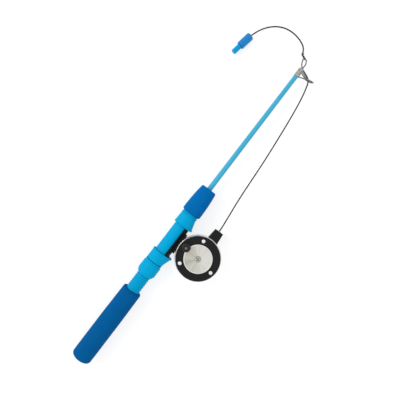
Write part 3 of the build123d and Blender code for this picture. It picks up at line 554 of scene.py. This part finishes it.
def enamelled_glass_fibre(name, base, thin):
    """Glossy enamel over the fine spiral that the moulding tape left."""
    material, output = new_material(name)
    place = add_node(material, "ShaderNodeTexCoord", {})
    spiral = add_node(material, "ShaderNodeTexWave",
                      {"bands_direction": "X", "Scale": math.pi / (10 * wrap_pitch), "Distortion": 0.4,
                       "Detail": 1.0, "Detail Scale": 2.0},
                      Vector=place.outputs["Object"])
    clouds = add_node(material, "ShaderNodeTexNoise", {"Scale": 45.0, "Detail": 4.0},
                      Vector=place.outputs["Object"])
    tone = add_node(material, "ShaderNodeMixRGB", {"Color1": colour(base), "Color2": colour(thin)},
                    Fac=clouds.outputs["Fac"])
    bump = add_node(material, "ShaderNodeBump", {"Strength": 0.25, "Distance": 0.00004},
                    Height=spiral.outputs["Fac"])
    enamel = add_node(material, "ShaderNodeBsdfPrincipled",
                      {"Roughness": 0.4, "Specular IOR Level": 0.25, "Coat Weight": 0.25,
                       "Coat Roughness": 0.2},
                      Base_Color=tone.outputs["Color"], Normal=bump.outputs["Normal"])
    return close_material(material, output, enamel)


finish_nodes(enamelled_glass_fibre("dipped_enamel_on_glass_fibre", "2EA2C4", "3CAACC"), "blank")

# ---------------------------------------------------------------------------------------------
# Tip guide: drawn stainless tube and wire, soldered together, with a polished black ceramic ring
# pressed into the wire ring. Cloudy stains, brownish on the tube and dark on the wire, lie on the metal at
# random.


def worked_metal(name, base, stain, roughness, grain, edge):
    """Metal with fine tool marks that run along, across or round it, as the grain's three sizes say."""
    material, output = new_material(name)
    place = add_node(material, "ShaderNodeTexCoord", {})
    stretched = add_node(material, "ShaderNodeMapping", {"Scale": tuple(1 / size for size in grain)},
                         Vector=place.outputs["Object"])
    marks = add_node(material, "ShaderNodeTexNoise", {"Scale": 1.0, "Detail": 3.0},
                     Vector=stretched.outputs["Vector"])
    clouds = add_node(material, "ShaderNodeTexNoise", {"Scale": 240.0, "Detail": 3.0},
                      Vector=place.outputs["Object"])
    tone = add_node(material, "ShaderNodeMixRGB", {"Color1": colour(base), "Color2": colour(stain)},
                    Fac=clouds.outputs["Fac"])
    gloss = add_node(material, "ShaderNodeMapRange", {"To Min": roughness - 0.08, "To Max": roughness + 0.1},
                     Value=marks.outputs["Fac"])
    rounded_edge = add_node(material, "ShaderNodeBevel", {"samples": 4, "Radius": edge})
    bump = add_node(material, "ShaderNodeBump", {"Strength": 0.2, "Distance": 0.00002},
                    Height=marks.outputs["Fac"], Normal=rounded_edge.outputs["Normal"])
    metal = add_node(material, "ShaderNodeBsdfPrincipled", {"Metallic": 1.0},
                     Base_Color=tone.outputs["Color"], Roughness=gloss.outputs["Result"],
                     Normal=bump.outputs["Normal"])
    return close_material(material, output, metal)


def polished_ceramic():
    """Black zirconia, ground and polished."""
    material, output = new_material("polished_black_ceramic")
    place = add_node(material, "ShaderNodeTexCoord", {})
    wear = add_node(material, "ShaderNodeTexNoise", {"Scale": 1500.0, "Detail": 3.0},
                    Vector=place.outputs["Object"])
    gloss = add_node(material, "ShaderNodeMapRange", {"To Min": 0.08, "To Max": 0.2},
                     Value=wear.outputs["Fac"])
    ceramic = add_node(material, "ShaderNodeBsdfPrincipled", {"Base Color": colour("141315")},
                       Roughness=gloss.outputs["Result"])
    return close_material(material, output, ceramic)


tube_steel = worked_metal("drawn_stainless_tube", base="DAD8D4", stain="6A6156", roughness=0.2,
                          grain=(0.004, 0.00012, 0.00012), edge=0.0002)
finish_nodes(tube_steel, "tip_tube")
wire_steel = worked_metal("soldered_stainless_wire", base="8C8985", stain="38342F", roughness=0.25,
                          grain=(0.0004, 0.0004, 0.0004), edge=0.0002)
finish_nodes(wire_steel, "tip_frame")
finish_nodes(polished_ceramic(), "tip_ring")

# ---------------------------------------------------------------------------------------------
# Reel, black parts: foot, line guide, crank plate, knob and click gear are moulded glass-filled
# nylon. The tool's grain is coarser here, and the knob is a little shinier from the fingers.

black_nylon = moulded_plastic("moulded_black_nylon", base="0D0D0F", worn="121214", roughness=0.5,
                              glint=0.2, grain=0.00035, edge=0.0003)
finish_nodes(black_nylon, "reel_foot", "line_guide", "crank_plate", "click_gear")
handled_nylon = moulded_plastic("handled_black_nylon", base="161616", worn="202020", roughness=0.35,
                                glint=0.3, grain=0.0003, edge=0.0003)
finish_nodes(handled_nylon, "crank_knob")

# ---------------------------------------------------------------------------------------------
# Reel, bright parts: the drum and spool are turned aluminium with a clear anodised skin; the cap is
# a spun disc, brushed outwards from its middle, with a turned rim. The rivets are satin aluminium.

reel_low, reel_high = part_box("spool_cap")
reel_x = (reel_low[0] + reel_high[0]) / 2
reel_y = (reel_low[1] + reel_high[1]) / 2
cap_radius = (reel_high[0] - reel_low[0]) / 2
rim_width = 0.0010
rim_blend = 0.0003
# The cap's lighter half and its lighter spokes are a painted reflection of the brushed metal's sheen.
painted_sheen_turn = 0.92          # turn that brings the cap's brighter half to the front right


def from_reel_axis(material):
    """Nodes that give the place measured from the reel's axis, and the distance from that axis."""
    place = add_node(material, "ShaderNodeTexCoord", {})
    moved = add_node(material, "ShaderNodeVectorMath", {"operation": "SUBTRACT"},
                     Vector=place.outputs["Object"])
    moved.inputs[1].default_value = (reel_x, reel_y, 0)
    parts = add_node(material, "ShaderNodeSeparateXYZ", {}, Vector=moved.outputs["Vector"])
    flat = add_node(material, "ShaderNodeCombineXYZ", {}, X=parts.outputs["X"], Y=parts.outputs["Y"])
    distance = add_node(material, "ShaderNodeVectorMath", {"operation": "LENGTH"},
                        Vector=flat.outputs["Vector"])
    return parts, flat, distance


def turned_aluminium(name, base, dull, roughness, feed):
    """Turned and anodised aluminium: fine lines round the reel's axis, one tool feed apart."""
    material, output = new_material(name)
    _, flat, distance = from_reel_axis(material)
    lines = add_node(material, "ShaderNodeTexNoise",
                     {"noise_dimensions": "1D", "Scale": 1 / feed, "Detail": 2.0},
                     W=distance.outputs["Value"])
    clouds = add_node(material, "ShaderNodeTexNoise", {"Scale": 120.0, "Detail": 3.0},
                      Vector=flat.outputs["Vector"])
    tone = add_node(material, "ShaderNodeMixRGB", {"Color1": colour(base), "Color2": colour(dull)},
                    Fac=clouds.outputs["Fac"])
    gloss = add_node(material, "ShaderNodeMapRange", {"To Min": roughness - 0.07, "To Max": roughness + 0.07},
                     Value=lines.outputs["Fac"])
    rounded_edge = add_node(material, "ShaderNodeBevel", {"samples": 4, "Radius": 0.0002})
    bump = add_node(material, "ShaderNodeBump", {"Strength": 0.25, "Distance": 0.00002},
                    Height=lines.outputs["Fac"], Normal=rounded_edge.outputs["Normal"])
    metal = add_node(material, "ShaderNodeBsdfPrincipled", {"Metallic": 1.0},
                     Base_Color=tone.outputs["Color"], Roughness=gloss.outputs["Result"],
                     Normal=bump.outputs["Normal"])
    return close_material(material, output, metal)


def brushed_cap():
    """Spun aluminium, brushed outwards: a painted reflection of the brushing, one half lighter than the other
    with soft lighter spokes, and a bright rim.
    """
    material, output = new_material("brushed_spun_aluminium")
    parts, _, distance = from_reel_axis(material)
    # Painted reflection: a broad lighter and darker half by the angle round the axis, then soft lighter
    # spokes by the same angle.
    angle = add_node(material, "ShaderNodeMath", {"operation": "ARCTAN2"})
    material.node_tree.links.new(parts.outputs["Y"], angle.inputs[0])
    material.node_tree.links.new(parts.outputs["X"], angle.inputs[1])
    offset = add_node(material, "ShaderNodeMath", {"operation": "ADD"})
    material.node_tree.links.new(angle.outputs["Value"], offset.inputs[0])
    offset.inputs[1].default_value = painted_sheen_turn
    sweep = add_node(material, "ShaderNodeMath", {"operation": "COSINE"})
    material.node_tree.links.new(offset.outputs["Value"], sweep.inputs[0])
    swing = add_node(material, "ShaderNodeMapRange", {"From Min": -1.0, "From Max": 1.0},
                     Value=sweep.outputs["Value"])
    broad = add_node(material, "ShaderNodeMixRGB", {"Color1": colour("B9B8A9"), "Color2": colour("DEDDD7")},
                     Fac=swing.outputs["Result"])
    spokes = add_node(material, "ShaderNodeTexNoise", {"noise_dimensions": "1D", "Scale": 2.2, "Detail": 2.0},
                      W=angle.outputs["Value"])
    shine = add_node(material, "ShaderNodeMapRange", {"From Min": 0.4, "From Max": 0.7, "To Max": 0.6},
                     Value=spokes.outputs["Fac"])
    tone = add_node(material, "ShaderNodeMixRGB", {"Color2": colour("E6E5E0")},
                    Fac=shine.outputs["Result"], Color1=broad.outputs["Color"])
    hairs = add_node(material, "ShaderNodeTexNoise", {"noise_dimensions": "1D", "Scale": 90.0, "Detail": 2.0},
                     W=angle.outputs["Value"])
    rim = add_node(material, "ShaderNodeMapRange",
                   {"From Min": cap_radius - rim_width - rim_blend, "From Max": cap_radius - rim_width},
                   Value=distance.outputs["Value"])
    rimmed = add_node(material, "ShaderNodeMixRGB", {"Color2": colour("F0F0EC")},
                      Fac=rim.outputs["Result"], Color1=tone.outputs["Color"])
    bump = add_node(material, "ShaderNodeBump", {"Strength": 0.08, "Distance": 0.00003},
                    Height=hairs.outputs["Fac"])
    metal = add_node(material, "ShaderNodeBsdfPrincipled", {"Metallic": 1.0, "Roughness": 0.38},
                     Base_Color=rimmed.outputs["Color"], Normal=bump.outputs["Normal"])
    return close_material(material, output, metal)


# The tool lines are drawn coarser than a real feed, so that they show.
anodised = turned_aluminium("anodised_turned_aluminium", base="F2F2F1", dull="E2E2E1", roughness=0.3,
                            feed=0.00018)
finish_nodes(anodised, "reel_drum", "spool_body")
finish_nodes(brushed_cap(), "spool_cap")
rivet_metal = worked_metal("satin_aluminium", base="F0F0F1", stain="E4E4E6", roughness=0.45,
                           grain=(0.0004, 0.0004, 0.0004), edge=0.0002)
finish_nodes(rivet_metal, "spool_rivets")

# ---------------------------------------------------------------------------------------------
# Reel, small steel and bronze parts: zinc-plated screws, spindle, nut, washers and pressed eyelet, a
# stainless cap screw, a knob pin in worn black oxide, a blued leaf for the click, and two oil-filled
# sintered bushes.

# How far the painted shade in the screw's recess reaches.
recess_shade_reach = 0.0012


def recess_shaded_screw():
    """A screw of the cap's own metal, with painted shade darkening the corners of its recess."""
    material, output = new_material("stainless_screw_painted_recess_shade")
    place = add_node(material, "ShaderNodeTexCoord", {})
    clouds = add_node(material, "ShaderNodeTexNoise", {"Scale": 900.0, "Detail": 2.0},
                      Vector=place.outputs["Object"])
    tone = add_node(material, "ShaderNodeMixRGB", {"Color1": colour("B4B3A8"), "Color2": colour("CFCEC6")},
                    Fac=clouds.outputs["Fac"])
    # Painted shade: deep in the cross recess, where little light reaches, the colour darkens towards dark
    # grey.
    corners = add_node(material, "ShaderNodeAmbientOcclusion", {"samples": 8, "Distance": recess_shade_reach})
    depth = add_node(material, "ShaderNodeMapRange", {"From Min": 0.45, "From Max": 0.8},
                     Value=corners.outputs["AO"])
    shade_darkened = add_node(material, "ShaderNodeMixRGB", {"Color1": colour("3A3C3C")},
                      Fac=depth.outputs["Result"], Color2=tone.outputs["Color"])
    metal = add_node(material, "ShaderNodeBsdfPrincipled", {"Metallic": 1.0, "Roughness": 0.4},
                     Base_Color=shade_darkened.outputs["Color"])
    return close_material(material, output, metal)


finish_nodes(recess_shaded_screw(), "spindle_screw")
zinc_steel = worked_metal("zinc_plated_steel", base="BFC1C2", stain="9EA0A2", roughness=0.32,
                          grain=(0.0003, 0.0003, 0.0003), edge=0.0002)
finish_nodes(zinc_steel, "foot_screws", "guide_eyelet", "spindle", "spindle_nut",
             "spindle_washer", "knob_washer", "click_screw")
oxide_steel = worked_metal("worn_black_oxide_steel", base="7C7C7A", stain="5A5A58", roughness=0.4,
                           grain=(0.0003, 0.0003, 0.0003), edge=0.0002)
finish_nodes(oxide_steel, "knob_pin")
spring_steel = worked_metal("blued_spring_steel", base="5B6274", stain="474B58", roughness=0.3,
                            grain=(0.002, 0.0002, 0.0002), edge=0.0001)
finish_nodes(spring_steel, "click_spring")
bush_bronze = worked_metal("sintered_bronze", base="A9824A", stain="8C6A3A", roughness=0.55,
                           grain=(0.00015, 0.00015, 0.00015), edge=0.0002)
finish_nodes(bush_bronze, "spool_bushes")

# ---------------------------------------------------------------------------------------------
# Snap and swivel: spring wire and a small barrel in chemically blackened steel, which has rubbed
# to bare metal in places.

black_steel = worked_metal("blackened_steel", base="4A4846", stain="2E2C2B", roughness=0.38,
                           grain=(0.0003, 0.0003, 0.0003), edge=0.0001)
finish_nodes(black_steel, "snap_wire", "swivel_barrel", "swivel_eyes")

# ---------------------------------------------------------------------------------------------
# End fitting: a sleeve and a stem, both moulded in glossy plastic from a polished tool. The leader's
# end goes into the sleeve's mouth, and the stem is pushed into its other end.

sleeve_plastic = moulded_plastic("polished_blue_plastic", base="006EB2", worn="0080C6", roughness=0.12,
                                 glint=0.35, grain=0.0008, edge=0.0003)
finish_nodes(sleeve_plastic, "end_sleeve")
stem_plastic = moulded_plastic("polished_sky_plastic", base="0090CC", worn="009AD6", roughness=0.3,
                               glint=0.1, grain=0.0008, edge=0.0003)
finish_nodes(stem_plastic, "end_stem")
